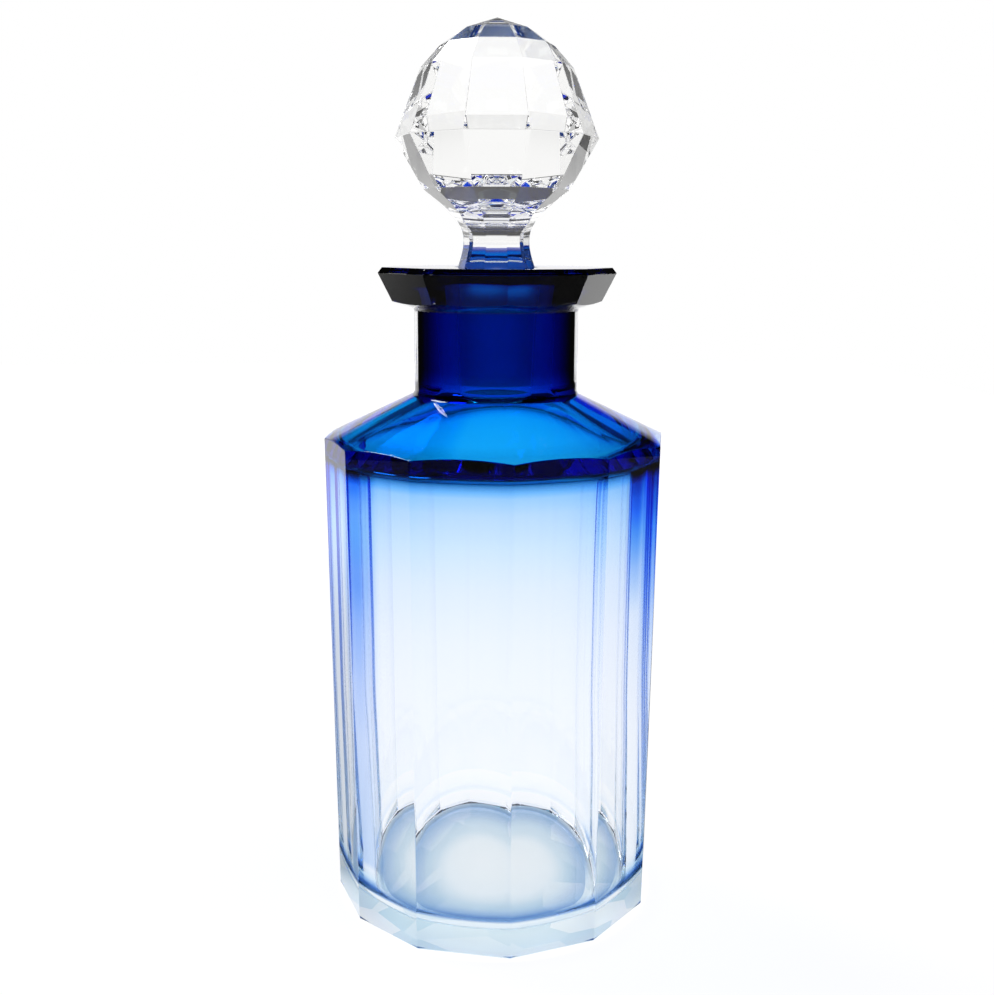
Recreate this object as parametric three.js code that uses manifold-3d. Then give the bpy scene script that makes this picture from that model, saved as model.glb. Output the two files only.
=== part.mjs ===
// A cut glass carafe with a crystal ball stopper, in millimetres, +Z up.
// The origin is the middle of the foot. A body edge and a flange edge face -Y.
import * as THREE from "three";
import { mergeVertices } from "three/addons/utils/BufferGeometryUtils.js";
import Module from "manifold-3d";

const wasm = await Module();
wasm.setup();

// Body: a blown blank with flat panels ground round it. Radii are to the edges between panels.
const panels = 12;
const footEdgeRadius = 43.6;
const shoulderEdgeRadius = 45;
const bodyHeight = 126.9; // foot to where the panels' edges meet the shoulder
const footRounding = 1.2;
// The wheel was held by hand, so each edge stands this many degrees off its even place.
const edgeDrift = [0, 1, 1.6, 0.8, 0, -0.8, 0.6, 0, 1.2, 2.5, -0.5, -2.2];

// Underside: a very shallow ground hollow inside the ring that the carafe stands on.
const footRingWidth = 8.4;
const hollowDepth = 0.4;

// Shoulder and neck, round.
const shoulderRise = 11.3;
const neckRadius = 21.3;
const neckLength = 22.2;
const neckFillet = 1.8;

// Flange: nine facets that lean out, with a narrow bevel on top.
const flangeSides = 9;
const flangeFootRadius = 27.4;
const flangeEdgeRadius = 31;
const flangeTopRadius = 29.9;
const undersideRise = 1.8;
const facetHeight = 7.1;
const bevelHeight = 1.4;

// Hollow inside.
const panelWall = 4.3; // both layers, at the middle of a panel's foot
const baseThickness = 4.8;
const floorRounding = 5.4;
const shoulderWall = 7.6; // under the shoulder's edge
const innerShoulderSlope = 0.58; // the blown shoulder inside is steeper than the cut one
const innerShoulderRounding = 2.5;
const throatRounding = 6;
const lipRounding = 0.9;

// Blue layer: thick where the gather of blue glass started, thin where it was blown out.
const bodyLayer = 1;
const shoulderLayer = 2;
const neckLayer = 3.9;
const rimLayer = 1.4; // spread over the flange when the mouth was opened
const layerGap = 0.3; // between the two layers, which are fused on the real glass

// Stopper: a ground plug under a solid ball cut in columns of facets.
const plugTopRadius = 10.4;
const plugTaper = 1.2; // radius lost from top to bottom
const plugLength = 28.8;
const plugDrop = 0.8; // top of the plug below the rim
const plugChamfer = 0.6;
const seatClearance = 0.3;
const columns = 10;
const stopperTurn = 12.4; // degrees that the first column's edge stands from -Y
// Edges of the ball's facet rows: radius, height above the rim.
const ballRows = [[0, 60.7], [9, 57.7], [14.4, 54], [19.2, 48.8], [25.9, 31.9], [18.6, 19.3]];
// The hollow-cut stem: radius, height above the rim.
const stemCurve = [[12.6, 14.5], [9.2, 10.1], [8.45, 6.3], [9, 2.9], [9.9, 0]];

const roundSegments = 60;
const arcStep = THREE.MathUtils.degToRad(15);
const stemSteps = 9;
const cutterMargin = 6;

// Heights that follow from the sizes above.
const neckBase = bodyHeight + shoulderRise;
const neckTop = neckBase + neckLength;
const facetFoot = neckTop + undersideRise;
const facetTop = facetFoot + facetHeight;
const rim = facetTop + bevelHeight;
const plugTop = rim - plugDrop;
const plugBottom = plugTop - plugLength;
const boreRadius = plugTopRadius - plugTaper + seatClearance;
const mouthRadius = plugTopRadius + seatClearance;

// The shoulder is a cone that meets the panels' edges at bodyHeight.
const shoulderSlope = shoulderRise / (shoulderEdgeRadius - neckRadius);
const slant = Math.hypot(1, shoulderSlope);
const shoulderHeight = (radius, below = 0) =>
  neckBase - shoulderSlope * (radius - neckRadius) - below * slant;
// Height inside at a radius, on a slope that starts so far below the cone at the wall's radius.
const innerHeight = (radius, wall, below) =>
  shoulderHeight(wall, below) + innerShoulderSlope * (wall - radius);

// An outline of [radius, height, rounding] corners becomes points, with an arc at each rounding.
// A rounding takes at most 45 % of the shorter side beside it.
function outline(corners) {
  const points = [];
  corners.forEach(([x, y, rounding = 0], i) => {
    const corner = new THREE.Vector2(x, y);
    if (!rounding) return points.push(corner);
    const before = new THREE.Vector2(...corners[i - 1].slice(0, 2)).sub(corner);
    const after = new THREE.Vector2(...corners[i + 1].slice(0, 2)).sub(corner);
    const room = 0.45 * Math.min(before.length(), after.length());
    before.normalize();
    after.normalize();
    const half = Math.acos(THREE.MathUtils.clamp(before.dot(after), -1, 1)) / 2;
    const reach = Math.min(rounding / Math.tan(half), room);
    const radius = reach * Math.tan(half);
    const centre = before.clone().add(after).normalize()
      .multiplyScalar(radius / Math.sin(half)).add(corner);
    const start = before.clone().multiplyScalar(reach).add(corner).sub(centre);
    const turn = (Math.PI - 2 * half) * Math.sign(after.cross(before));
    const steps = Math.max(2, Math.round(Math.abs(turn) / arcStep));
    for (let k = 0; k <= steps; k++) {
      points.push(start.clone().rotateAround(new THREE.Vector2(), turn * k / steps).add(centre));
    }
  });
  return points;
}

// LatheGeometry turns about Y and starts at +Z, so it is tipped up to Z with its first edge at -Y.
function revolve(points, segments = roundSegments) {
  return new THREE.LatheGeometry(points, segments).rotateX(Math.PI / 2);
}

function solid(geometry) {
  const bare = geometry.clone();
  bare.deleteAttribute("normal");
  bare.deleteAttribute("uv");
  const merged = mergeVertices(bare, 1e-4);
  const body = new wasm.Manifold(new wasm.Mesh({
    numProp: 3,
    vertProperties: new Float32Array(merged.attributes.position.array),
    triVerts: new Uint32Array(merged.index.array),
  }));
  if (body.isEmpty() || body.volume() < 0) throw new Error("an outline runs the wrong way round");
  return body;
}

function toMesh(name, body, look) {
  const { vertProperties, triVerts } = body.getMesh();
  const geometry = new THREE.BufferGeometry();
  geometry.setAttribute("position", new THREE.BufferAttribute(new Float32Array(vertProperties), 3));
  geometry.setIndex(new THREE.BufferAttribute(new Uint32Array(triVerts), 1));
  geometry.computeVertexNormals();
  const mesh = new THREE.Mesh(geometry, new THREE.MeshStandardMaterial(look));
  mesh.name = name;
  return mesh;
}

// What the grinding wheel leaves of the body: a prism that widens a little towards the shoulder.
function bodyPanels() {
  const widening = (shoulderEdgeRadius - footEdgeRadius) / bodyHeight;
  const top = rim + cutterMargin;
  const prism = revolve(outline([
    [0, 0], [footEdgeRadius, 0, footRounding],
    [footEdgeRadius + widening * top, top], [0, top],
  ]), panels);
  const place = prism.attributes.position;
  const vertex = new THREE.Vector3();
  const up = new THREE.Vector3(0, 0, 1);
  for (let i = 0; i < place.count; i++) {
    vertex.fromBufferAttribute(place, i);
    const edge = Math.round(Math.atan2(vertex.x, -vertex.y) / (2 * Math.PI) * panels);
    const drift = edgeDrift[(edge + panels) % edgeDrift.length];
    vertex.applyAxisAngle(up, THREE.MathUtils.degToRad(drift));
    place.setXYZ(i, ...vertex);
  }
  return solid(prism);
}

// What it leaves of the flange, joined to a plain block that spares everything below.
function flangeFacets() {
  const lean = (flangeEdgeRadius - flangeFootRadius) / facetHeight;
  const start = neckTop - undersideRise;
  const facets = revolve([
    [0, start], [flangeFootRadius - lean * (facetFoot - start), start],
    [flangeEdgeRadius, facetTop], [flangeTopRadius, rim], [0, rim],
  ].map((p) => new THREE.Vector2(...p)), flangeSides);
  const wide = shoulderEdgeRadius + 2 * cutterMargin;
  const below = revolve([[0, -cutterMargin], [wide, -cutterMargin], [wide, neckTop - 0.2], [0, neckTop - 0.2]]
    .map((p) => new THREE.Vector2(...p)));
  return solid(facets).add(solid(below));
}

// The blank before cutting, turned round: hollow foot, shoulder cone, neck and flange disc.
function blank() {
  const wide = shoulderEdgeRadius + cutterMargin;
  const disc = flangeEdgeRadius + cutterMargin;
  const ring = footEdgeRadius * Math.cos(Math.PI / panels) - footRingWidth;
  const underside = undersideRise / (flangeFootRadius - neckRadius);
  const hollow = [0, 0.25, 0.5, 0.75].map((t) => [ring * t, hollowDepth * (1 - t * t)]);
  return solid(revolve(outline([
    ...hollow, [ring, 0], [wide, 0], [wide, shoulderHeight(wide)],
    [neckRadius, neckBase, neckFillet], [neckRadius, neckTop, neckFillet / 2],
    [disc, neckTop + underside * (disc - neckRadius)], [disc, rim], [0, rim],
  ])));
}

// The air inside, from the floor to the mouth. The bore is ground to the plug's own taper.
function hollowOutline() {
  const radius = footEdgeRadius * Math.cos(Math.PI / panels) - panelWall;
  return outline([
    [0, baseThickness], [radius, baseThickness, floorRounding],
    [radius, shoulderHeight(radius, shoulderWall), innerShoulderRounding],
    [boreRadius, innerHeight(boreRadius, radius, shoulderWall), throatRounding],
    [boreRadius, plugBottom], [mouthRadius, plugTop],
    [mouthRadius, rim, lipRounding], [flangeEdgeRadius + cutterMargin, rim],
  ]);
}

// The outside of the blue layer, or the clear layer's face round it, which stands off by the gap.
function layerOutline(gap = 0) {
  const radius = footEdgeRadius * Math.cos(Math.PI / panels) - panelWall + bodyLayer + gap;
  const neck = boreRadius + neckLayer + gap;
  const depth = shoulderWall - shoulderLayer - gap;
  const floor = baseThickness - bodyLayer - gap;
  const shelf = rim - rimLayer - gap;
  return outline([
    [0, floor], [radius, floor, floorRounding + bodyLayer + gap],
    [radius, shoulderHeight(radius, depth), innerShoulderRounding + bodyLayer + gap],
    [neck, innerHeight(neck, radius, depth), throatRounding - gap],
    [neck, shelf, 2], [flangeEdgeRadius + cutterMargin, shelf],
  ]);
}

function clearCasing(cuts) {
  const inside = layerOutline(layerGap);
  const out = inside[inside.length - 1].x;
  const core = [...inside, new THREE.Vector2(out, rim + 1), new THREE.Vector2(0, rim + 1)];
  return blank().intersect(cuts).subtract(solid(revolve(core)));
}

function blueLining(cuts) {
  const ring = [...layerOutline(), ...hollowOutline().reverse()];
  return solid(revolve(ring)).intersect(cuts);
}

function crystalStopper() {
  const row = ([radius, height]) => new THREE.Vector2(radius, rim + height);
  const stem = new THREE.SplineCurve([ballRows[ballRows.length - 1], ...stemCurve].map(row));
  const head = [
    new THREE.Vector2(0, plugTop - 1),
    new THREE.Vector2(stemCurve[stemCurve.length - 1][0], plugTop - 1),
    ...stem.getPoints(stemSteps).reverse(),
    ...ballRows.slice(0, -1).reverse().map(row),
  ];
  const plugBottomRadius = plugTopRadius - plugTaper;
  const plug = [
    [0, plugBottom], [plugBottomRadius - plugChamfer, plugBottom],
    [plugBottomRadius, plugBottom + plugChamfer], [plugTopRadius, plugTop - plugChamfer],
    [plugTopRadius - plugChamfer, plugTop], [0, plugTop],
  ].map((p) => new THREE.Vector2(...p));
  return solid(revolve(head, columns)).add(solid(revolve(plug))).rotate([0, 0, stopperTurn]);
}

const cuts = bodyPanels().intersect(flangeFacets());
const group = new THREE.Group();
group.add(toMesh("clear_casing", clearCasing(cuts),
  { color: 0xdce8f2, roughness: 0.03, metalness: 0, transparent: true, opacity: 0.3 }));
group.add(toMesh("blue_lining", blueLining(cuts),
  { color: 0x1450c8, roughness: 0.03, metalness: 0, transparent: true, opacity: 0.6 }));
group.add(toMesh("stopper", crystalStopper(),
  { color: 0xe6e7e0, roughness: 0.02, metalness: 0, flatShading: true }));

export default group;
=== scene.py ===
# %% [markdown]
# A cased and cut glass carafe
#
# The real carafe was blown from two layers of glass, clear outside and blue inside, and then
# ground on a wheel. It has only three solid pieces, so nearly all of its look is refraction: every
# curve and every thickness of the glass shows as a line or a band of colour. This lesson therefore
# models the true surfaces, inside and out, and lets the path tracer bend the light. The
# construction, its joints and its sizes come from a fixed frame.

# %% Load the frame
import math

import bpy
from mathutils import Matrix, Vector, noise


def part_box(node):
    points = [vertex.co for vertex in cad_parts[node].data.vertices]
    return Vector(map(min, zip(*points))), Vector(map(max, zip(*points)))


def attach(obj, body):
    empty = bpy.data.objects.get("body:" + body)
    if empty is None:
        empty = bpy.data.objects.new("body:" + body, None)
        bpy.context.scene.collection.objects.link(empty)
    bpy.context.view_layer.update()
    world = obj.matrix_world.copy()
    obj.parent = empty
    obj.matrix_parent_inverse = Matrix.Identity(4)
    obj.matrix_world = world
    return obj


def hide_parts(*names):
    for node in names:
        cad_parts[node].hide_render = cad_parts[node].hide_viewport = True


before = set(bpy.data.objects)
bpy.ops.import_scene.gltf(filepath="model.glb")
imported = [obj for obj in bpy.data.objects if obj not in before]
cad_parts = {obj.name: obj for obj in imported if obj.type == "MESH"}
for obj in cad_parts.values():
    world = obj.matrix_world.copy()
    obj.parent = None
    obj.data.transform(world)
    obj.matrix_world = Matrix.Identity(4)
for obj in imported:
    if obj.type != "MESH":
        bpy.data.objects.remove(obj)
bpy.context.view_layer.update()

MM = 0.001
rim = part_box("blue_lining")[1].z / MM
plug_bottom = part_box("stopper")[0].z / MM
casing_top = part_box("clear_casing")[1].z / MM
print("pieces of the frame:", sorted(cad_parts))
print("clear glass up to", round(casing_top, 1), "mm, rim at", round(rim, 1), "mm")

# %% [markdown]
# The camera
#
# The camera stands where the photograph's stood: about 32 cm from the axis, a little above the
# rim, tipped down 12 degrees. It could be placed by eye, but glass shows a wrong height at once,
# because the far side of the foot is seen through the near side. So place, tilt and focal length
# are the values that put all the corners of the cut body where the photograph has them. The body's
# front edge faces -Y and stands a few degrees to the right.

# %% Camera
CAMERA_DISTANCE = 317.8
CAMERA_HEIGHT = 176.8
CAMERA_TURN = math.radians(-5.57)
CAMERA_HEADING = math.radians(-5.65)
CAMERA_PITCH = math.radians(11.88)
CAMERA_ROLL = math.radians(0.25)
FOCAL_PIXELS = 1210.7
FRAME_WIDTH = 994

eye = bpy.data.cameras.new("camera")
eye.sensor_fit = 'HORIZONTAL'
eye.sensor_width = 36
eye.lens = FOCAL_PIXELS * eye.sensor_width / FRAME_WIDTH
camera = bpy.data.objects.new("camera", eye)
bpy.context.scene.collection.objects.link(camera)
place = Vector((math.sin(CAMERA_TURN), -math.cos(CAMERA_TURN), 0)) * CAMERA_DISTANCE
place.z = CAMERA_HEIGHT
camera.matrix_world = (Matrix.Translation(place * MM)
                       @ Matrix.Rotation(CAMERA_HEADING, 4, 'Z')
                       @ Matrix.Rotation(math.pi / 2 - CAMERA_PITCH, 4, 'X')
                       @ Matrix.Rotation(CAMERA_ROLL, 4, 'Z'))
bpy.context.scene.camera = camera
print("camera at", [round(v) for v in place], "mm, lens", round(eye.lens, 1))

# %% [markdown]
# A helper for turned outlines with rounded corners
#
# Turned glass is a profile spun about an axis, and cut glass is the same profile with flats ground
# on it. Both can be lofted: the outline is worked out again for each direction round the axis,
# always with the same number of points, and neighbouring outlines are joined with quads. That
# keeps every ground edge exactly on a line of vertices, which a boolean would not. The first
# helper turns corners into an outline, with an arc at each rounding and straight stretches cut
# into even steps.

# %% Outline helper
ROOM_SHARE = 0.45


def outline(corners):
    """Points of [radius, height, rounding, arc steps, steps to the next corner] corners."""
    stops = []
    for i, (radius, height, rounding, arc, steps) in enumerate(corners):
        corner = Vector((radius, height))
        if not rounding:
            stops.append(([corner], steps))
            continue
        before = Vector(corners[i - 1][:2]) - corner
        after = Vector(corners[i + 1][:2]) - corner
        room = ROOM_SHARE * min(before.length, after.length)
        before.normalize()
        after.normalize()
        half = math.acos(max(-1, min(1, before.dot(after)))) / 2
        reach = min(rounding / math.tan(half), room)
        size = reach * math.tan(half)
        centre = corner + (before + after).normalized() * size / math.sin(half)
        start = corner + before * reach - centre
        side = 1 if after.x * before.y - after.y * before.x > 0 else -1
        turn = (math.pi - 2 * half) * side
        bend = [centre + Matrix.Rotation(turn * k / arc, 2) @ start for k in range(arc + 1)]
        stops.append((bend, steps))
    points = []
    for (bend, steps), following in zip(stops, stops[1:] + [None]):
        points += bend
        if following:
            gap = following[0][0] - bend[-1]
            points += [bend[-1] + gap * k / steps for k in range(1, steps)]
    return points


# %% [markdown]
# A helper that lofts the outlines into a closed mesh
#
# Each column of points stands in one direction round the axis, measured from -Y. The ends of every
# column lie on the axis, where they share one vertex, so the mesh is closed by construction. The
# faces are shaded smooth. The cut rows get normals weighted by area: wide flats stay flat, and
# only the narrow rounding between them turns the light.

# %% Loft helper
FLAT_WEIGHT = 90


def loft(name, directions, column, paint, materials, cut_rows):
    """A closed mesh of column(direction) at each direction; paint(row) gives a row's material."""
    columns = [column(a) for a in directions]
    rows = len(columns[0])
    points = [(0, 0, columns[0][0].y * MM), (0, 0, columns[0][-1].y * MM)]
    for a, line in zip(directions, columns):
        points += [(p.x * math.sin(a) * MM, -p.x * math.cos(a) * MM, p.y * MM) for p in line[1:-1]]
    inner = rows - 2
    faces = []
    looks = []
    for i in range(len(directions)):
        here = 2 + i * inner
        there = 2 + (i + 1) % len(directions) * inner
        faces.append((0, there, here))
        looks.append(paint(0))
        for j in range(inner - 1):
            faces.append((here + j, there + j, there + j + 1, here + j + 1))
            looks.append(paint(j + 1))
        faces.append((here + inner - 1, there + inner - 1, 1))
        looks.append(paint(inner))
    mesh = bpy.data.meshes.new(name)
    mesh.from_pydata(points, [], faces)
    for material in materials:
        mesh.materials.append(material)
    mesh.polygons.foreach_set("material_index", looks)
    mesh.polygons.foreach_set("use_smooth", [True] * len(faces))
    piece = bpy.data.objects.new(name, mesh)
    bpy.context.scene.collection.objects.link(piece)
    cut = piece.vertex_groups.new(name="cut")
    cut.add([2 + i * inner + j for i in range(len(directions)) for j in range(inner)
             if j + 1 < cut_rows], 1, 'REPLACE')
    weighted = piece.modifiers.new("flats stay flat", 'WEIGHTED_NORMAL')
    weighted.weight = FLAT_WEIGHT
    weighted.vertex_group = "cut"
    print(name, "has", len(faces), "faces in", len(directions), "columns of", rows, "points")
    return piece


# %% [markdown]
# Flats round an axis
#
# A ring of ground flats is a polygon seen from above. For one direction round the axis, the
# surface lies at the edge radius times a share, which is 1 on an edge and smallest in the middle
# of a flat. The wheel was held by hand, so the body's edges stand up to 2.5 degrees off their even
# places, and each pair of edges bounds a flat of its own width. The edges themselves are softened
# by the polishing: four extra columns close beside each edge carry a rounding a few tenths of a
# millimetre wide.

# %% Flats
BODY_DRIFT = [0, 1, 1.6, 0.8, 0, -0.8, 0.6, 0, 1.2, 2.5, -0.5, -2.2]
BODY_FLATS = len(BODY_DRIFT)
FLANGE_FLATS = 9
BALL_FLATS = 10
STOPPER_TURN = 12.4
body_edges = [math.radians(360 / BODY_FLATS * k + drift) for k, drift in enumerate(BODY_DRIFT)]
flange_edges = [math.radians(360 / FLANGE_FLATS * k) for k in range(FLANGE_FLATS)]
stopper_edges = [math.radians(STOPPER_TURN + 360 / BALL_FLATS * k) for k in range(BALL_FLATS)]
FULL = 2 * math.pi
ARRIS = 0.5
TOUCH = 1e-6
FREE_REACH = 2.5


def share(direction, edges, radius):
    """Distance of the flats from the axis in this direction, as a share of the edge radius."""
    for k, edge in enumerate(edges):
        width = (edges[(k + 1) % len(edges)] - edge) % FULL
        past = (direction - edge + TOUCH) % FULL
        if past < width:
            from_edge = min(past, width - past)
            flat = math.cos(width / 2) / math.cos(past - width / 2)
            reach = ARRIS * math.tan(width / 2) / radius
            if from_edge < reach:
                sunk = ARRIS * (1 / math.cos(width / 2) - 1) / radius
                flat = min(flat, 1 - sunk * (1 - (from_edge / reach) ** 2 * 0.5))
            return flat
    return 1


def directions_for(radius, *rings, step=3.0):
    """Directions of all the columns: even steps, the edges and the roundings beside them."""
    found = {round(math.radians(step * k), 6) for k in range(round(360 / step))}
    for edges in rings:
        reach = ARRIS * math.tan(math.pi / len(edges)) / radius
        for edge in edges:
            found = {a for a in found
                     if abs((a - edge + math.pi) % FULL - math.pi) > FREE_REACH * reach}
            found |= {round((edge + reach * t) % FULL, 6) for t in (-1, -0.5, 0, 0.5, 1)}
    return sorted(found)


# %% [markdown]
# The bottle's sizes
#
# These are the driving sizes that the frame was built from, in millimetres, so the visual surfaces
# lie on the frame's solids. Only the foot's rounding is a little smaller here. The panel walls are
# 4 to 6 mm thick, the floor is nearly 5 and the shoulder is heavier. The photograph gives those
# thicknesses, because the dark band under the shoulder, the line of the floor and the arcs behind
# it can only stand where they do with that much glass in front of them.

# %% Bottle sizes
FOOT_EDGE = 43.6
SHOULDER_EDGE = 45
BODY_HEIGHT = 126.9
FOOT_ROUNDING = 0.8
FOOT_RING = 8.4
HOLLOW_DEPTH = 0.4
SHOULDER_RISE = 11.3
NECK_RADIUS = 21.3
NECK_LENGTH = 22.2
NECK_FILLET = 1.8
FLANGE_FOOT = 27.4
FLANGE_EDGE = 31
FLANGE_TOP = 29.9
UNDERSIDE_RISE = 1.8
FACET_HEIGHT = 7.1
PANEL_WALL = 4.3
BASE = 4.8
FLOOR_ROUNDING = 5.4
SHOULDER_WALL = 7.6
INNER_ROUNDING = 2.5
THROAT_ROUNDING = 6
LIP_ROUNDING = 0.9
PLUG_TOP_RADIUS = 10.4
PLUG_TAPER = 1.2
SEAT_CLEARANCE = 0.3
PLUG_DROP = 0.8

neck_base = BODY_HEIGHT + SHOULDER_RISE
neck_top = neck_base + NECK_LENGTH
facet_foot = neck_top + UNDERSIDE_RISE
facet_top = facet_foot + FACET_HEIGHT
plug_top = rim - PLUG_DROP
bore = PLUG_TOP_RADIUS - PLUG_TAPER + SEAT_CLEARANCE
mouth = PLUG_TOP_RADIUS + SEAT_CLEARANCE
flat_distance = FOOT_EDGE * math.cos(math.pi / BODY_FLATS)
cavity = flat_distance - PANEL_WALL
shoulder_slope = SHOULDER_RISE / (SHOULDER_EDGE - NECK_RADIUS)
widening = (SHOULDER_EDGE - FOOT_EDGE) / BODY_HEIGHT
lean = (FLANGE_EDGE - FLANGE_FOOT) / FACET_HEIGHT
underside_slope = UNDERSIDE_RISE / (FLANGE_FOOT - NECK_RADIUS)


def cone(radius, below=0):
    """Height of the shoulder cone at a radius, or of a surface that lies so far below it."""
    fall = shoulder_slope * (radius - NECK_RADIUS)
    return neck_base - fall - below * math.hypot(1, shoulder_slope)


INNER_SLOPE = 0.58


def inner_cone(radius, depth, wall):
    """Height of the cavity's shoulder, which rises more steeply than the cut cone above it."""
    return cone(wall, depth) + INNER_SLOPE * (wall - radius)


print("cavity radius", round(cavity, 2), "mm, bore", round(bore, 2), "mm")

# %% [markdown]
# The bottle as one glass body
#
# On the real carafe the two layers are fused, so light crosses only two surfaces on its way
# through a wall: the cut outside and the blown inside. Modelled as two separate solids with a gap,
# each wall would have four mirror-like surfaces and the bottle would look silvered. So one closed
# body takes both layers' outer surfaces, and the colour goes into a film inside it, in the next
# step. The cavity was blown, not cut, so it drifts a few tenths of a millimetre from round, and
# above the middle of the body it stands 1.5 mm to the left.

# %% Bottle columns
WANDER = 0.22
WANDER_ROUND = 1.1
WANDER_UP = 55
WANDER_PLACE = Vector((3.1, 0.4, 7.7))
CAVITY_SHIFT = 1.5
SHIFT_FROM = 15
SHIFT_OVER = 45
SHIFT_WAY = math.radians(-90)
DOME_STEPS = 6
SHOULDER_ARRIS = 0.35
FACET_FOOT_ARRIS = 0.25
FACET_TOP_ARRIS = 0.2
RIM_ARRIS = 0.3


def blown_drift(direction, height):
    """How far the blown cavity wanders outward, in millimetres."""
    spot = Vector((math.sin(direction) * WANDER_ROUND, -math.cos(direction) * WANDER_ROUND,
                   height / WANDER_UP))
    shift = CAVITY_SHIFT * max(0, min(1, (height - SHIFT_FROM) / SHIFT_OVER))
    return WANDER * noise.noise(spot + WANDER_PLACE) + shift * math.cos(direction - SHIFT_WAY)


def hollow_corners(offset=0):
    """The cavity from the lip down to the floor, or a surface that lies so far inside the glass."""
    wall = cavity + offset
    throat = bore + offset
    depth = SHOULDER_WALL - offset
    return [
        (mouth + offset, rim - offset, LIP_ROUNDING, 6, 2),
        (mouth + offset, plug_top, 0, 0, 14),
        (throat, plug_bottom, 0, 0, 3),
        (throat, inner_cone(throat, depth, wall), THROAT_ROUNDING - offset, 10, 8),
        (wall, cone(wall, depth), INNER_ROUNDING + offset, 10, 26),
        (wall, BASE - offset, FLOOR_ROUNDING + offset, 16, 8),
        (0, BASE - offset, 0, 0, 1),
    ]


def outer_corners(direction):
    """The cut outside, from the middle of the underside up to the flange's bevel."""
    body = share(direction, body_edges, SHOULDER_EDGE)
    flange = share(direction, flange_edges, FLANGE_EDGE)
    ring = flat_distance - FOOT_RING
    dome = [(ring * t / DOME_STEPS, HOLLOW_DEPTH * (1 - (t / DOME_STEPS) ** 2), 0, 0, 1)
            for t in range(DOME_STEPS)]
    meet = ((neck_base + shoulder_slope * (NECK_RADIUS - body * FOOT_EDGE))
            / (1 + shoulder_slope * body * widening))
    under = underside_slope * flange
    brim = ((neck_top + under * (FLANGE_FOOT - lean * facet_foot) - underside_slope * NECK_RADIUS)
            / (1 - under * lean))
    return dome + [
        (ring, 0, 0, 0, 2),
        (body * FOOT_EDGE, 0, FOOT_ROUNDING, 4, 30),
        (body * (FOOT_EDGE + widening * meet), meet, SHOULDER_ARRIS, 3, 10),
        (NECK_RADIUS, neck_base, NECK_FILLET, 6, 10),
        (NECK_RADIUS, neck_top, NECK_FILLET / 2, 4, 3),
        (flange * (FLANGE_FOOT + lean * (brim - facet_foot)), brim, FACET_FOOT_ARRIS, 3, 4),
        (flange * FLANGE_EDGE, facet_top, FACET_TOP_ARRIS, 3, 1),
        (flange * FLANGE_TOP, rim, RIM_ARRIS, 3, 6),
    ]


STILL_WITHIN = 2
FULL_DRIFT_OVER = 18


def inside_wander(points, direction, first):
    """The points from the row numbered first on, moved with the blown cavity's drift."""
    for p in points[first:]:
        if p.y < neck_base:
            part = max(0, min(1, (p.x - bore - STILL_WITHIN) / FULL_DRIFT_OVER))
            p.x += part * part * (3 - 2 * part) * blown_drift(direction, p.y)
    return points


def bottle_column(direction):
    """The bottle's outline in one direction, from the underside over the lip to the floor."""
    points = outline(outer_corners(direction) + hollow_corners())
    return inside_wander(points, direction, lip_row)


lip_row = len(outline(outer_corners(0) + [(mouth, rim, 0, 0, 1)])) - 2
print("the lip starts at row", lip_row)

# %% [markdown]
# The blue film
#
# The blue glass was gathered first and blown out: it is 4 mm thick at the neck and thins out down
# the body. Its outer face is modelled where the blue meets the clear glass, and that face takes
# all of the wall's colour; its inner face lies a hair under the inside of the bottle and closes
# the shape. Over the floor the layer is thinner than in the frame, because a thick one would show
# a second line above the foot.

# %% Film columns
FLOOR_LAYER = 0.25
BODY_LAYER = 1
SHOULDER_LAYER = 2.0
NECK_LAYER = 3.9
RIM_LAYER = 1.4
SKIN = 0.06
SHELF_FILLET = 2


def film_column(direction):
    """The film's outline in one direction, up its outer face and back down its inner face."""
    flange = share(direction, flange_edges, FLANGE_EDGE)
    wall = cavity + BODY_LAYER
    neck = bore + NECK_LAYER
    depth = SHOULDER_WALL - SHOULDER_LAYER
    floor = BASE - FLOOR_LAYER
    shelf = rim - RIM_LAYER
    corners = [
        (0, floor, 0, 0, 8),
        (wall, floor, FLOOR_ROUNDING + BODY_LAYER, 10, 26),
        (wall, cone(wall, depth), INNER_ROUNDING + BODY_LAYER, 10, 8),
        (neck, inner_cone(neck, depth, wall), THROAT_ROUNDING, 10, 14),
        (neck, shelf, SHELF_FILLET, 4, 4),
        (flange * FLANGE_EDGE - SKIN * 2, shelf, 0, 0, 1),
        (flange * FLANGE_TOP - SKIN * 2, rim - SKIN, 0, 0, 6),
    ]
    points = outline(corners + hollow_corners(SKIN))
    return inside_wander(points, direction, 0)


# %% [markdown]
# Helpers for node materials
#
# All looks in this lesson are built from nodes, because every one of them changes over the
# surface: with the height, with the distance from the axis, or with the direction round it. The
# helpers below keep each such rule to one line. A step is a value that goes from 0 to 1 between
# two limits, and the distance from the axis is the length of the position with its height taken
# out.

# %% Material helpers
def node_material(name):
    """An empty node material with its nodes and links."""
    material = bpy.data.materials.new(name)
    material.use_nodes = True
    nodes = material.node_tree.nodes
    nodes.clear()
    return material, nodes, material.node_tree.links


def math_node(nodes, links, operation, *values):
    """The output of a Math node; each value is a number or another node's output."""
    node = nodes.new("ShaderNodeMath")
    node.operation = operation
    for socket, value in zip(node.inputs, values):
        if isinstance(value, (int, float)):
            socket.default_value = value
        else:
            links.new(value, socket)
    return node.outputs[0]


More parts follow.
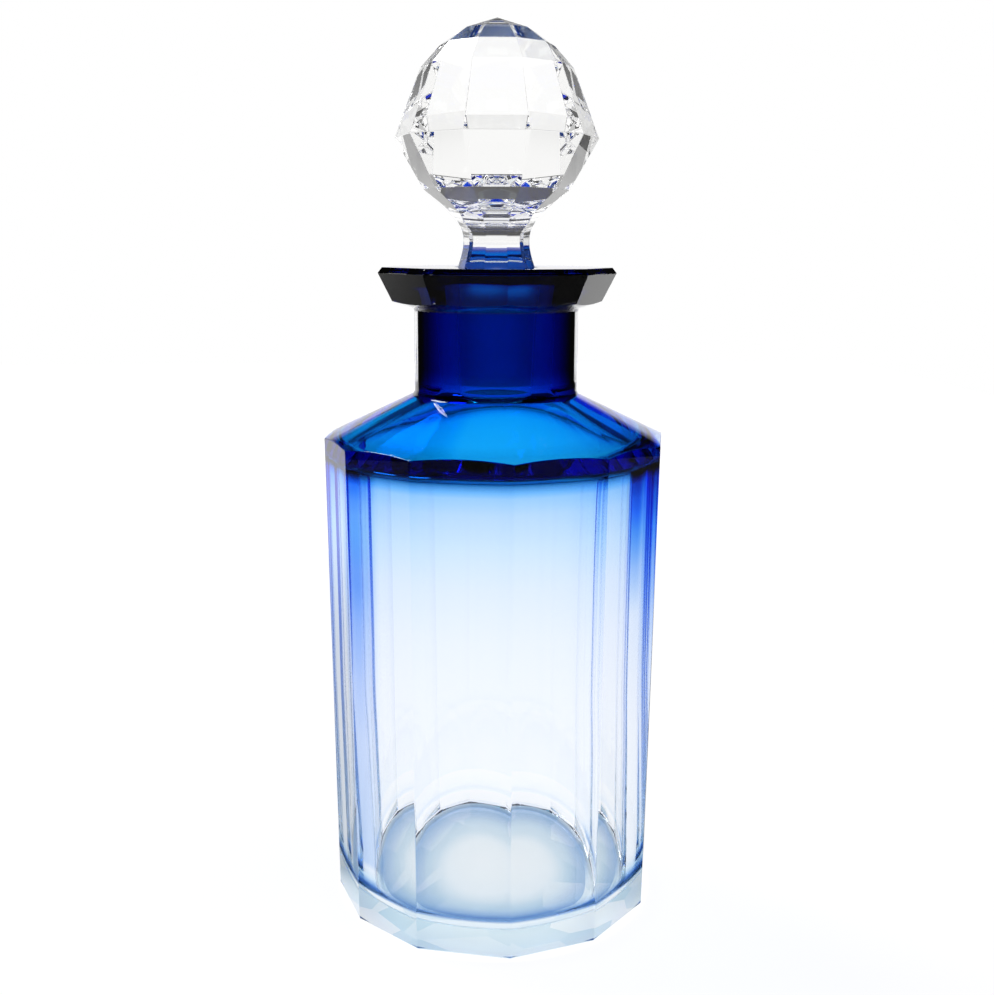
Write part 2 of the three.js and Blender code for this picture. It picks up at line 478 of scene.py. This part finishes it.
def step_between(nodes, links, value, low, high, soft=False):
    """0 below low and 1 above high, or the other way round where low is the larger."""
    fade = nodes.new("ShaderNodeMapRange")
    fade.interpolation_type = 'SMOOTHSTEP' if soft else 'LINEAR'
    fade.inputs["From Min"].default_value = low
    fade.inputs["From Max"].default_value = high
    links.new(value, fade.inputs["Value"])
    return fade.outputs[0]


def position(nodes, links):
    """The point, its height, its position without the height and its distance from the axis."""
    where = nodes.new("ShaderNodeTexCoord")
    split = nodes.new("ShaderNodeSeparateXYZ")
    links.new(where.outputs["Object"], split.inputs[0])
    level = nodes.new("ShaderNodeVectorMath")
    level.operation = 'MULTIPLY'
    level.inputs[1].default_value = (1, 1, 0)
    links.new(where.outputs["Object"], level.inputs[0])
    away = nodes.new("ShaderNodeVectorMath")
    away.operation = 'LENGTH'
    links.new(level.outputs[0], away.inputs[0])
    return where.outputs["Object"], split.outputs["Z"], level.outputs[0], away.outputs["Value"]


# %% [markdown]
# Light that falls through the glass
#
# Real glass throws a pale shadow, because most light goes through it. A path tracer finds that
# light only by chance, so it could leave a dark and noisy shadow instead. The usual way out is
# taken here: shadow rays and rays from matt surfaces pass straight through the glass with a slight
# tint, and only rays that come from the eye, a mirror or another piece of glass are bent.

# %% Clear to shadows
SHADOW_TINT = (0.93, 0.95, 0.97, 1)


def clear_to_shadows(nodes, links, surface):
    """Make the surface the material's own, except for the light that falls through it."""
    path = nodes.new("ShaderNodeLightPath")
    either = math_node(nodes, links, 'MAXIMUM',
                       path.outputs["Is Shadow Ray"], path.outputs["Is Diffuse Ray"])
    clear = nodes.new("ShaderNodeBsdfTransparent")
    clear.inputs["Color"].default_value = SHADOW_TINT
    mix = nodes.new("ShaderNodeMixShader")
    links.new(either, mix.inputs["Fac"])
    links.new(surface, mix.inputs[1])
    links.new(clear.outputs[0], mix.inputs[2])
    out = nodes.new("ShaderNodeOutputMaterial")
    links.new(mix.outputs[0], out.inputs["Surface"])


# %% [markdown]
# Ground glass
#
# The underside is ground flat and only half polished again, and the plug and its seat are left matt
# so that they grip. Frosting could be roughness alone, but rough glass that is seen through
# polished glass still mirrors whole scenes at a low angle. A ground skin lets light out in every
# direction, so part of the surface becomes a mix of clear and matt. Its tint comes in patches about
# 18 mm wide. On the plug they are the uneven tone that the wheel leaves; on the foot they are
# painted shade and light: seen through the polished heel they are the pale and grey-blue shapes low
# on the foot. The middle of the hollow is painted pale.

# %% Ground glass
PATCH_SCALE = 55
PALE_FADE = 0.3


def frosting(nodes, links, point, radius,
             dark_patch, pale_patch, matt_colour, matt_share, pale_within):
    """A ground skin: clear in tinted patches, partly matt, and paler within a radius (mm)."""
    # Patches of tint; on the foot they are painted shade and light.
    patches = nodes.new("ShaderNodeTexVoronoi")
    patches.inputs["Scale"].default_value = PATCH_SCALE
    links.new(point, patches.inputs["Vector"])
    shade = nodes.new("ShaderNodeSeparateColor")
    links.new(patches.outputs["Color"], shade.inputs[0])
    pale = shade.outputs[0]
    if pale_within:
        middle = step_between(nodes, links, radius, (1 + PALE_FADE) * pale_within * MM,
                              (1 - PALE_FADE) * pale_within * MM, True)
        pale = math_node(nodes, links, 'MAXIMUM', pale, middle)
    tint = nodes.new("ShaderNodeMix")
    tint.data_type = 'RGBA'
    links.new(pale, tint.inputs["Factor"])
    tint.inputs["A"].default_value = (*dark_patch, 1)
    tint.inputs["B"].default_value = (*pale_patch, 1)
    through = nodes.new("ShaderNodeBsdfTransparent")
    links.new(tint.outputs["Result"], through.inputs["Color"])
    scatter = nodes.new("ShaderNodeBsdfDiffuse")
    scatter.inputs["Color"].default_value = (*matt_colour, 1)
    frost = nodes.new("ShaderNodeMixShader")
    frost.inputs["Fac"].default_value = matt_share
    links.new(through.outputs[0], frost.inputs[1])
    links.new(scatter.outputs[0], frost.inputs[2])
    return frost.outputs[0]


# %% [markdown]
# Polished glass with its ground places
#
# One material dresses a whole piece: it is polished everywhere, ground below one height, and
# ground again where the seat is. The two masks come from the height and the distance from the
# axis, so they follow the true surfaces without any painting. The bottle is soda glass with an
# index near 1.52, and the stopper is lead crystal, which bends light more and is faintly warm. Its
# whole plug is ground, so it has no seat of its own.

# %% Polished and ground glass
GROUND_OUT_TO = 41
SEAT_ROUGHNESS = 0.4
EDGE = 0.1
NO_SEAT = 1000
PLUG_POLISHED_FROM = 1.2


def glass(name, ior, tint, ground_up_to, roughness, ground_share, frost, seat_radius, seat_from):
    """Glass that is ground below a height, and rough above another within a radius (all mm)."""
    material, nodes, links = node_material(name)
    point, height, _, radius = position(nodes, links)
    low = step_between(nodes, links, height, (ground_up_to + EDGE) * MM, ground_up_to * MM)
    within = step_between(nodes, links, radius,
                          (GROUND_OUT_TO + EDGE) * MM, (GROUND_OUT_TO - EDGE) * MM)
    low = math_node(nodes, links, 'MULTIPLY', low, within)
    high = step_between(nodes, links, height, (seat_from - EDGE) * MM, seat_from * MM)
    inside = step_between(nodes, links, radius, (seat_radius + EDGE) * MM, seat_radius * MM)
    seat = math_node(nodes, links, 'MULTIPLY', high, inside)
    shader = nodes.new("ShaderNodeBsdfPrincipled")
    shader.inputs["Base Color"].default_value = (*tint, 1)
    shader.inputs["Transmission Weight"].default_value = 1
    shader.inputs["IOR"].default_value = ior
    rough_low = math_node(nodes, links, 'MULTIPLY', low, roughness)
    rough_seat = math_node(nodes, links, 'MULTIPLY', seat, SEAT_ROUGHNESS)
    links.new(math_node(nodes, links, 'MAXIMUM', rough_low, rough_seat), shader.inputs["Roughness"])
    ground = nodes.new("ShaderNodeMixShader")
    links.new(math_node(nodes, links, 'MULTIPLY', low, ground_share), ground.inputs["Fac"])
    links.new(shader.outputs[0], ground.inputs[1])
    links.new(frosting(nodes, links, point, radius, *frost), ground.inputs[2])
    clear_to_shadows(nodes, links, ground.outputs[0])
    print(name, "is ground below", round(ground_up_to, 1), "mm")
    return material


# On the foot the patch tints are painted shade and light, and so is the paleness within 20 mm.
FOOT_FROST_AND_PAINTED_SHADE = ((0.60, 0.78, 0.87), (0.96, 1, 1), (0.80, 0.90, 0.92), 0.06, 20)
PLUG_FROST = ((0.82, 0.82, 0.74), (0.94, 0.94, 0.88), (0.34, 0.35, 0.30), 0.35, 0)
bottle_glass = glass("polished_clear_glass", ior=1.52, tint=(0.99, 0.995, 1),
                     ground_up_to=HOLLOW_DEPTH, roughness=0.06, ground_share=0.72,
                     frost=FOOT_FROST_AND_PAINTED_SHADE, seat_radius=mouth + EDGE, seat_from=plug_bottom)
crystal = glass("polished_crystal", ior=1.56, tint=(0.99, 0.99, 0.98),
                ground_up_to=rim - PLUG_POLISHED_FROM, roughness=0.3, ground_share=0.4,
                frost=PLUG_FROST, seat_radius=mouth, seat_from=NO_SEAT)

# %% [markdown]
# The blue by height
#
# The colour of one wall seen straight through, at heights in millimetres. The photograph gives
# these values: where the view crosses two walls, each has the square root of what is seen. The
# blue is nearly black at the neck, azure on the shoulder, and fades away over the upper half of
# the body. It gathers once more in the corner above the floor, where the bubble was pressed, and
# that is the blue line round the foot.

# %% Blue tints
FLOOR_BLUE = (0.985, 0.992, 1)
CORNER_BLUE = (0.50, 0.64, 0.84)
BLUES_AND_BAND_SHADE = [
    (BASE - 1, FLOOR_BLUE),
    (BASE + 3.6, FLOOR_BLUE),
    (BASE + 3.9, (0.35, 0.52, 0.78)),
    (BASE + 4.6, (0.30, 0.47, 0.75)),
    (BASE + 5.4, (0.60, 0.74, 0.92)),
    (BASE + 7, (0.88, 0.94, 0.985)),
    (BASE + 10, (0.95, 0.969, 0.993)),
    (50, (0.95, 0.966, 0.994)),
    (66, (0.93, 0.953, 0.994)),
    (82, (0.89, 0.931, 0.994)),
    (96, (0.82, 0.896, 0.992)),
    (106, (0.72, 0.86, 0.99)),
    (114, (0.61, 0.79, 0.99)),
    (118, (0.46, 0.71, 0.985)),
    # 119.6 to 124.5 mm: darker than the shoulder above, painted shade for the dark band under it
    (119.6, (0.20, 0.55, 0.95)),
    (121.3, (0.02, 0.20, 0.60)),
    (123, (0.012, 0.32, 0.70)),
    (124.5, (0.012, 0.40, 0.80)),
    (127, (0.015, 0.50, 0.96)),
    (134, (0.01, 0.52, 0.99)),
    (140, (0.001, 0.20, 0.99)),
    (144, (0.0005, 0.10, 1)),
    (rim - 2, (0.0005, 0.10, 1)),
    (rim - 1, (0.001, 0.30, 0.96)),
]
FLOOR_TINTS = [
    (0, (0.99, 0.995, 1)),
    (10, (0.97, 0.985, 0.995)),
    (18, (0.93, 0.96, 0.985)),
    (22, (0.88, 0.925, 0.965)),
    (25, (0.80, 0.87, 0.94)),
    (28, (0.68, 0.77, 0.90)),
    (31, (0.56, 0.68, 0.85)),
    (33, CORNER_BLUE),
]
# Painted shade: this blue lies only on the back half of the floor's edge, for the arcs seen through
# the floor.
CORNER_SHADE_TINTS = [
    (BASE - 1, CORNER_BLUE),
    (BASE + 0.3, CORNER_BLUE),
    (BASE + 0.6, FLOOR_BLUE),
    (rim, FLOOR_BLUE),
]
print(len(BLUES_AND_BAND_SHADE), "tints by height and", len(FLOOR_TINTS), "by the distance from the axis")

# %% [markdown]
# A slanting view through a curved layer
#
# A ray that crosses the layer at a slant travels further in the blue and comes out darker. The
# angle comes from a Layer Weight node. In a flat layer the distance would grow without end towards
# the edge, but this one is bent, and its length follows from two circles: one of the outer radius
# and one smaller by the thickness.

# %% Length of the way through
LEAST_COSINE = 0.02


def way_through(nodes, links, bend, thickness):
    """The way through a layer of this outer radius, as a multiple of its thickness."""
    facing = nodes.new("ShaderNodeLayerWeight")
    facing.inputs["Blend"].default_value = 0.5
    cosine = math_node(nodes, links, 'SUBTRACT', 1, facing.outputs["Facing"])
    cosine = math_node(nodes, links, 'MAXIMUM', cosine, LEAST_COSINE)
    square = math_node(nodes, links, 'MULTIPLY', cosine, cosine)
    inner = ((bend - thickness) / bend) ** 2
    room = math_node(nodes, links, 'ADD', square, inner - 1)
    room = math_node(nodes, links, 'MAXIMUM', room, 0)
    length = math_node(nodes, links, 'SUBTRACT', cosine, math_node(nodes, links, 'SQRT', room))
    return math_node(nodes, links, 'MULTIPLY', length, bend / thickness)


# %% [markdown]
# Streaks where the blue is thicker or thinner
#
# Each streak makes the way through the blue longer or shorter in one direction round the axis. The
# photograph shows a deep blue streak at the left edge of the wide panels and two at the right, and
# the wall's streaks make the blue deeper there. On the flanks of the shoulder the blue is thinner,
# a painted light that lets the clear glass above it look white to lavender; left of the middle it
# is a little deeper, a painted shade. Each streak has a direction, a half width in degrees where it
# starts and where it is full, two heights, and the depth at each. The last two lists stand for the
# whole front and the whole back.

# %% Streaks
WALL_STREAKS = [
    (-60, 11, 2, 92, 110, 4, 1.9),
    (56, 8, 2, 84, 112, 1, 3.8),
    (73, 6, 2, 70, 110, 1.3, 3.4),
]
# Painted light on the shoulder's flanks (thinner blue) and painted shade left of the middle (deeper
# blue).
SHOULDER_PAINTED_LIGHT_AND_SHADE = [
    (-100, 36, 12, 110, 120, 0.5, 0.5),
    (-40, 22, 5, 110, 120, 1.4, 1.4),
    (100, 38, 12, 110, 120, 0.5, 0.5),
]
FRONT = [(0, 110, 84, 0, 1, 1, 1)]
# The back half, where the floor's edge carries painted shade.
SHADED_BACK = [(180, 120, 90, 0, 1, 1, 1)]


def streaked(nodes, links, length, height, level, streaks, elsewhere):
    """The way through, made longer or shorter in each streak's direction."""
    way = nodes.new("ShaderNodeVectorMath")
    way.operation = 'NORMALIZE'
    links.new(level, way.inputs[0])
    for towards, outside, inside, low, high, depth_low, depth_high in streaks:
        along = nodes.new("ShaderNodeVectorMath")
        along.operation = 'DOT_PRODUCT'
        turned = math.radians(towards)
        along.inputs[1].default_value = (math.sin(turned), -math.cos(turned), 0)
        links.new(way.outputs[0], along.inputs[0])
        part = step_between(nodes, links, along.outputs["Value"],
                            math.cos(math.radians(outside)), math.cos(math.radians(inside)), True)
        by_height = nodes.new("ShaderNodeMapRange")
        by_height.inputs["From Min"].default_value = low * MM
        by_height.inputs["From Max"].default_value = high * MM
        by_height.inputs["To Min"].default_value = depth_low - elsewhere
        by_height.inputs["To Max"].default_value = depth_high - elsewhere
        links.new(height, by_height.inputs["Value"])
        more = math_node(nodes, links, 'MULTIPLY', part, by_height.outputs[0])
        more = math_node(nodes, links, 'ADD', more, elsewhere)
        length = math_node(nodes, links, 'MULTIPLY', length, more)
    return length


# %% [markdown]
# The film's material
#
# The film only colours what passes through it, so its shader is a Transparent one. Each colour
# channel is the tint raised to the power of the way through, as in solid glass. Cobalt glass loses
# its blue too once it is very deep, or the neck would glow; the extra loss starts where the green
# has fallen by a factor of about 2.7.

# %% Film material
BLUE_LOSS = 0.45
LOSS_FROM = 1.0


def tint_ramp(nodes, links, value, tints, reach):
    """Colour by a value in millimetres, from 0 up to reach."""
    place = nodes.new("ShaderNodeMapRange")
    place.inputs["From Max"].default_value = reach * MM
    links.new(value, place.inputs["Value"])
    ramp = nodes.new("ShaderNodeValToRGB")
    links.new(place.outputs[0], ramp.inputs["Fac"])
    stops = ramp.color_ramp.elements
    while len(stops) < len(tints):
        stops.new(0.5)
    for stop, (at, seen) in zip(stops, tints):
        stop.position = at / reach
        stop.color = (*seen, 1)
    return ramp.outputs["Color"]


def deep_blue_loss(nodes, links, green, length):
    """A factor on the blue that falls once the green has fallen far."""
    depth = math_node(nodes, links, 'LOGARITHM', green, math.e)
    depth = math_node(nodes, links, 'MULTIPLY', depth, length)
    depth = math_node(nodes, links, 'ADD', depth, LOSS_FROM)
    depth = math_node(nodes, links, 'MINIMUM', depth, 0)
    depth = math_node(nodes, links, 'MULTIPLY', depth, BLUE_LOSS)
    return math_node(nodes, links, 'EXPONENT', depth)


def film_material(name, bend, thickness, streaks=(), elsewhere=1, tints=BLUES_AND_BAND_SHADE, across=None):
    """Blue glass of this outer radius and thickness; its tints go by height or across the floor."""
    material, nodes, links = node_material(name)
    _, height, level, radius = position(nodes, links)
    colour = tint_ramp(nodes, links, radius if across else height, tints, across or rim)
    length = way_through(nodes, links, bend, thickness)
    length = streaked(nodes, links, length, height, level, streaks, elsewhere)
    parts = nodes.new("ShaderNodeSeparateColor")
    links.new(colour, parts.inputs[0])
    passed = [math_node(nodes, links, 'POWER', part, length) for part in parts.outputs]
    loss = deep_blue_loss(nodes, links, parts.outputs[1], length)
    passed[2] = math_node(nodes, links, 'MULTIPLY', passed[2], loss)
    whole = nodes.new("ShaderNodeCombineColor")
    for value, socket in zip(passed, whole.inputs):
        links.new(value, socket)
    clear = nodes.new("ShaderNodeBsdfTransparent")
    links.new(whole.outputs[0], clear.inputs["Color"])
    out = nodes.new("ShaderNodeOutputMaterial")
    links.new(clear.outputs[0], out.inputs["Surface"])
    return material


def untinted(name):
    """A film material that lets everything through."""
    material, nodes, links = node_material(name)
    clear = nodes.new("ShaderNodeBsdfTransparent")
    out = nodes.new("ShaderNodeOutputMaterial")
    links.new(clear.outputs[0], out.inputs["Surface"])
    return material


# %% [markdown]
# The film's eight zones
#
# The film's outer face changes its bend and thickness from the floor to the rim, so each zone has
# its own material. Its inner face, right under the glass surface, has no tint, or every wall would
# be coloured twice. The corner over the floor is split: seen from the front its lower half must
# stay pale and its upper half makes the line, and at the back the lower half carries blue that is
# painted shade: it draws the soft blue-grey arcs that are seen through the floor.

# %% Film zones
CORNER_BEND = FLOOR_ROUNDING + BODY_LAYER
FLAT_BEND = 60
STRAIGHT_BEND = 200
TINTED_ACROSS = 40
ELSEWHERE = 0.1
films = [
    film_material("film_floor", FLAT_BEND, BODY_LAYER, tints=FLOOR_TINTS, across=TINTED_ACROSS),
    film_material("film_floor_edge_shade", CORNER_BEND, BODY_LAYER, SHADED_BACK, ELSEWHERE, CORNER_SHADE_TINTS),
    film_material("film_heel", CORNER_BEND, BODY_LAYER, FRONT, ELSEWHERE),
    film_material("film_wall", cavity + BODY_LAYER, BODY_LAYER, WALL_STREAKS),
    film_material("film_shoulder", FLAT_BEND, SHOULDER_LAYER, SHOULDER_PAINTED_LIGHT_AND_SHADE),
    film_material("film_neck", STRAIGHT_BEND, NECK_LAYER),
    film_material("film_rim", FLAT_BEND, RIM_LAYER),
    untinted("film_inner_face"),
]
print("film zones:", [film.name for film in films])

# %% [markdown]
# Building the bottle
#
# The columns stand every 3 degrees, with five more at each ground edge of the body and the flange.
# The glass body takes the place of the clear casing and the film that of the blue lining, and both
# ride the bottle's body, which stands still. The wheel-cut rows up to the lip get the weighted
# normals, and the blown inside keeps plain smooth ones.

# %% Bottle meshes
bottle_directions = directions_for(FLANGE_EDGE, body_edges, flange_edges)
bottle = loft("cased_glass_bottle", bottle_directions, bottle_column,
              lambda row: 0, [bottle_glass], lip_row)
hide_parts("clear_casing")
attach(bottle, "bottle")

# %% [markdown]
# Building the blue layer
#
# The film's rows run from the middle of the floor, up the wall and the neck, over the rim and back
# down inside. The list gives the row at which each zone ends; all rows after the last belong to
# the untinted inner face.

# %% Blue layer mesh
ZONE_ENDS = [8, 12, 19, 44, 62, 88, 99]


def zone_of(row):
    """The number of the zone that a row belongs to."""
    return sum(row >= end for end in ZONE_ENDS)


blue = loft("blue_inner_layer", bottle_directions, film_column, zone_of, films, 0)
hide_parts("blue_lining")
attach(blue, "bottle")

# %% [markdown]
# The stopper
#
# The stopper is one piece of solid crystal: a plug ground to fit the bore, a waisted stem and a
# ball cut with ten flats in each of five rings. All rings share their directions, so the facets
# meet along lines from top to bottom, with a rounding of a few tenths of a millimetre. The stem's
# flare is a smooth curve through five measured radii, and the flats fade into it because each
# radius is multiplied by the same share.

# %% Stopper
BALL_ROWS = [(18.6, 19.3), (25.9, 31.9), (19.2, 48.8), (14.4, 54), (9, 57.7), (0, 60.7)]
STEM = [(9.9, 0), (9, 2.9), (8.45, 6.3), (9.2, 10.1), (12.6, 14.5)]
PLUG_CHAMFER = 0.6
FACET_ROUNDING = 0.3
STEM_STEPS = 3
OVERLAP = 0.02
ALL_ROWS = 1000


def curve_through(points, steps):
    """A smooth curve through the points, the same number of steps between each pair."""
    ends = [points[0]] + points + [points[-1]]
    found = []
    for i in range(1, len(ends) - 2):
        p0, p1, p2, p3 = (Vector(p) for p in ends[i - 1:i + 3])
        for k in range(steps):
            t = k / steps
            found.append(0.5 * ((2 * p1) + (p2 - p0) * t + (2 * p0 - 5 * p1 + 4 * p2 - p3) * t * t
                                + (3 * p1 - p0 - 3 * p2 + p3) * t ** 3))
    return found


def stopper_column(direction):
    """The stopper's outline in one direction, from the end of the plug to the top of the ball."""
    cut = share(direction, stopper_edges, BALL_ROWS[1][0])
    low = PLUG_TOP_RADIUS - PLUG_TAPER
    plug = outline([
        (0, plug_bottom, 0, 0, 4), (low, plug_bottom, PLUG_CHAMFER, 3, 14),
        (PLUG_TOP_RADIUS, plug_top, PLUG_CHAMFER, 3, 1),
        (STEM[0][0] * cut + OVERLAP, plug_top + OVERLAP, 0, 0, 1)])
    curve = curve_through(STEM + [BALL_ROWS[0]], STEM_STEPS)
    stem = [Vector((p.x * cut, rim + p.y)) for p in curve]
    ball = outline([(cut * STEM[-1][0], rim + STEM[-1][1], 0, 0, 1)]
                   + [(cut * r, rim + h, FACET_ROUNDING if r else 0, 3, 2) for r, h in BALL_ROWS])
    return plug + stem + ball[1:]


stopper_directions = directions_for(BALL_ROWS[1][0], stopper_edges)
stopper = loft("crystal_stopper", stopper_directions, stopper_column,
               lambda row: 0, [crystal], ALL_ROWS)
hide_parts("stopper")
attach(stopper, "stopper")

# %% [markdown]
# Render settings
#
# Light crosses up to a dozen surfaces on its way through this bottle, and each crossing of the
# blue film counts as a transparent one. With too few bounces the thick places would turn black, so
# the limits are raised.

# %% Render settings
scene = bpy.context.scene
scene.view_settings.view_transform = 'Standard'
scene.cycles.max_bounces = 32
scene.cycles.transmission_bounces = 32
scene.cycles.glossy_bounces = 24
scene.cycles.transparent_max_bounces = 96

# %% [markdown]
# The floor
#
# The photograph's floor is plain and almost white, with a faint shadow. To the lamps this floor is
# a matt pale surface. To the eye and through the glass it also glows, so that it looks white
# without any more light on the object, and its matt part is darker there, because the glow adds to
# it. Near the carafe it glows a little less to the eye, so that the shadow shows, and far away it
# is as white as the backdrop, so that no horizon shows. Mirrors show only the part behind the
# carafe, which gives the polished edges their dark lines. Right under the foot the floor glows for
# every ray, or a view that is mirrored inside the foot first would end there in a grey band. The
# floor's sizes are in metres.

# %% Floor
FLOOR_LENGTH = 1.5
FLOOR_SIDE = 0.7
FLOOR_SINK = 0.0002
MIRRORED_FROM = 0.15
MIRRORED_FULL = 0.4
UNDER_FOOT = 0.043
BESIDE_FOOT = 0.05
SHADE_WITHIN = 0.5
OPEN_FROM = 1.2
NEAR_GLOW = 0.92
MATT_TO_THE_EYE = (0.25, 0.25, 0.25, 1)
MATT_TO_THE_LAMPS = (0.9, 0.9, 0.9, 1)


def floor_material():
    """Matt and pale to the lamps, glowing white to the eye and through the glass."""
    material, nodes, links = node_material("white_floor")
    point, _, _, away = position(nodes, links)
    split = nodes.new("ShaderNodeSeparateXYZ")
    links.new(point, split.inputs[0])
    path = nodes.new("ShaderNodeLightPath")
    behind = step_between(nodes, links, split.outputs["Y"], MIRRORED_FROM, MIRRORED_FULL, True)
    under = step_between(nodes, links, away, BESIDE_FOOT, UNDER_FOOT, True)
    through = math_node(nodes, links, 'MAXIMUM', path.outputs["Is Transmission Ray"], behind)
    through = math_node(nodes, links, 'MAXIMUM', through, under)
    open_floor = nodes.new("ShaderNodeMapRange")
    open_floor.inputs["From Min"].default_value = SHADE_WITHIN
    open_floor.inputs["From Max"].default_value = OPEN_FROM
    open_floor.inputs["To Min"].default_value = NEAR_GLOW
    links.new(away, open_floor.inputs["Value"])
    direct = math_node(nodes, links, 'MULTIPLY',
                       path.outputs["Is Camera Ray"], open_floor.outputs[0])
    glow = nodes.new("ShaderNodeEmission")
    links.new(math_node(nodes, links, 'MAXIMUM', direct, through), glow.inputs["Strength"])
    soft = nodes.new("ShaderNodeBsdfDiffuse")
    soft.inputs["Color"].default_value = MATT_TO_THE_EYE
    seen = nodes.new("ShaderNodeAddShader")
    links.new(soft.outputs[0], seen.inputs[0])
    links.new(glow.outputs[0], seen.inputs[1])
    lit = nodes.new("ShaderNodeBsdfDiffuse")
    lit.inputs["Color"].default_value = MATT_TO_THE_LAMPS
    lighting = math_node(nodes, links, 'MAXIMUM',
                         path.outputs["Is Diffuse Ray"], path.outputs["Is Shadow Ray"])
    mix = nodes.new("ShaderNodeMixShader")
    links.new(lighting, mix.inputs["Fac"])
    links.new(seen.outputs[0], mix.inputs[1])
    links.new(lit.outputs[0], mix.inputs[2])
    out = nodes.new("ShaderNodeOutputMaterial")
    links.new(mix.outputs[0], out.inputs["Surface"])
    return material


corners = [(-FLOOR_SIDE, -FLOOR_SIDE, 0), (FLOOR_SIDE, -FLOOR_SIDE, 0),
           (FLOOR_SIDE, FLOOR_LENGTH, 0), (-FLOOR_SIDE, FLOOR_LENGTH, 0)]
floor_mesh = bpy.data.meshes.new("floor")
floor_mesh.from_pydata(corners, [], [(0, 1, 2, 3)])
floor_mesh.materials.append(floor_material())
floor = bpy.data.objects.new("floor", floor_mesh)
scene.collection.objects.link(floor)
floor.location.z = -FLOOR_SINK
print("floor", FLOOR_SIDE * 2, "by", FLOOR_SIDE + FLOOR_LENGTH, "m")

# %% [markdown]
# Lamps
#
# Two soft discs light the scene at a plain level. The key stands behind on the left and is the
# only one that the glass mirrors: it makes the small highlight where the neck meets the shoulder.
# The fill is wider and hidden from mirrors, since its image would lie across the whole shoulder.

# %% Lamps
LAMP_TARGET = Vector((0, 0, 0.1))


def soft_lamp(name, spot, size, power, mirrored):
    """A disc that faces the carafe's middle, with its size in metres and its power in watts."""
    light = bpy.data.lights.new(name, 'AREA')
    light.shape = 'DISK'
    light.size = size
    light.energy = power
    lamp = bpy.data.objects.new(name, light)
    scene.collection.objects.link(lamp)
    lamp.location = spot
    aim = LAMP_TARGET - Vector(spot)
    lamp.rotation_euler = aim.to_track_quat('-Z', 'Y').to_euler()
    lamp.visible_glossy = mirrored
    lamp.visible_transmission = mirrored
    print(name, "lamp,", power, "watts")


soft_lamp("key", (-0.9, 0.9, 1.6), 0.7, 12, True)
soft_lamp("fill", (0.9, -0.2, 1.6), 1.6, 8, False)

# %% [markdown]
# The backdrop
#
# Glass has no look of its own: it shows its surroundings. The photograph tells what they were. The
# flanks of the neck mirror a bright field only within some 30 degrees of straight behind, so for
# mirrors the backdrop is that narrow. The view through the glass is bright much further round. The
# backdrop ended not far above the picture: the lower facets of the ball bend the view upwards and
# come out dark grey. So the world is white to the camera, white all round to rays that come
# through glass, and dark above for both kinds of ray.

# %% Backdrop
DARK = 0.01
INSIDE_DARK = 0.1
CEILING_DARK = 0.31
CEILING_BRIGHT = 0.18
SIDES_DARK = 0.8
BACK_BRIGHT = 0.9
world = bpy.data.worlds.new("studio")
scene.world = world
world.use_nodes = True
nodes = world.node_tree.nodes
links = world.node_tree.links
nodes.clear()
where = nodes.new("ShaderNodeTexCoord")
split = nodes.new("ShaderNodeSeparateXYZ")
links.new(where.outputs["Generated"], split.inputs[0])
path = nodes.new("ShaderNodeLightPath")


def bright_zone(value, dark, bright):
    """1 at bright and beyond it, falling softly to almost nothing at dark."""
    fade = nodes.new("ShaderNodeMapRange")
    fade.interpolation_type = 'SMOOTHSTEP'
    fade.inputs["From Min"].default_value = bright
    fade.inputs["From Max"].default_value = dark
    fade.inputs["To Min"].default_value = 1
    fade.inputs["To Max"].default_value = DARK
    links.new(value, fade.inputs["Value"])
    return fade.outputs[0]


low = bright_zone(split.outputs["Z"], CEILING_DARK, CEILING_BRIGHT)
mirrored = bright_zone(split.outputs["Y"], SIDES_DARK, BACK_BRIGHT)
wide = math_node(nodes, links, 'MAXIMUM', path.outputs["Is Transmission Ray"], mirrored)
lit = math_node(nodes, links, 'MINIMUM', low, wide)
dim = math_node(nodes, links, 'MULTIPLY', path.outputs["Is Transmission Ray"], INSIDE_DARK)
lit = math_node(nodes, links, 'MAXIMUM', lit, dim)
lit = math_node(nodes, links, 'MAXIMUM', lit, path.outputs["Is Camera Ray"])
back = nodes.new("ShaderNodeBackground")
links.new(lit, back.inputs["Strength"])
back.inputs["Color"].default_value = (1, 1, 1, 1)
out = nodes.new("ShaderNodeOutputWorld")
links.new(back.outputs[0], out.inputs["Surface"])
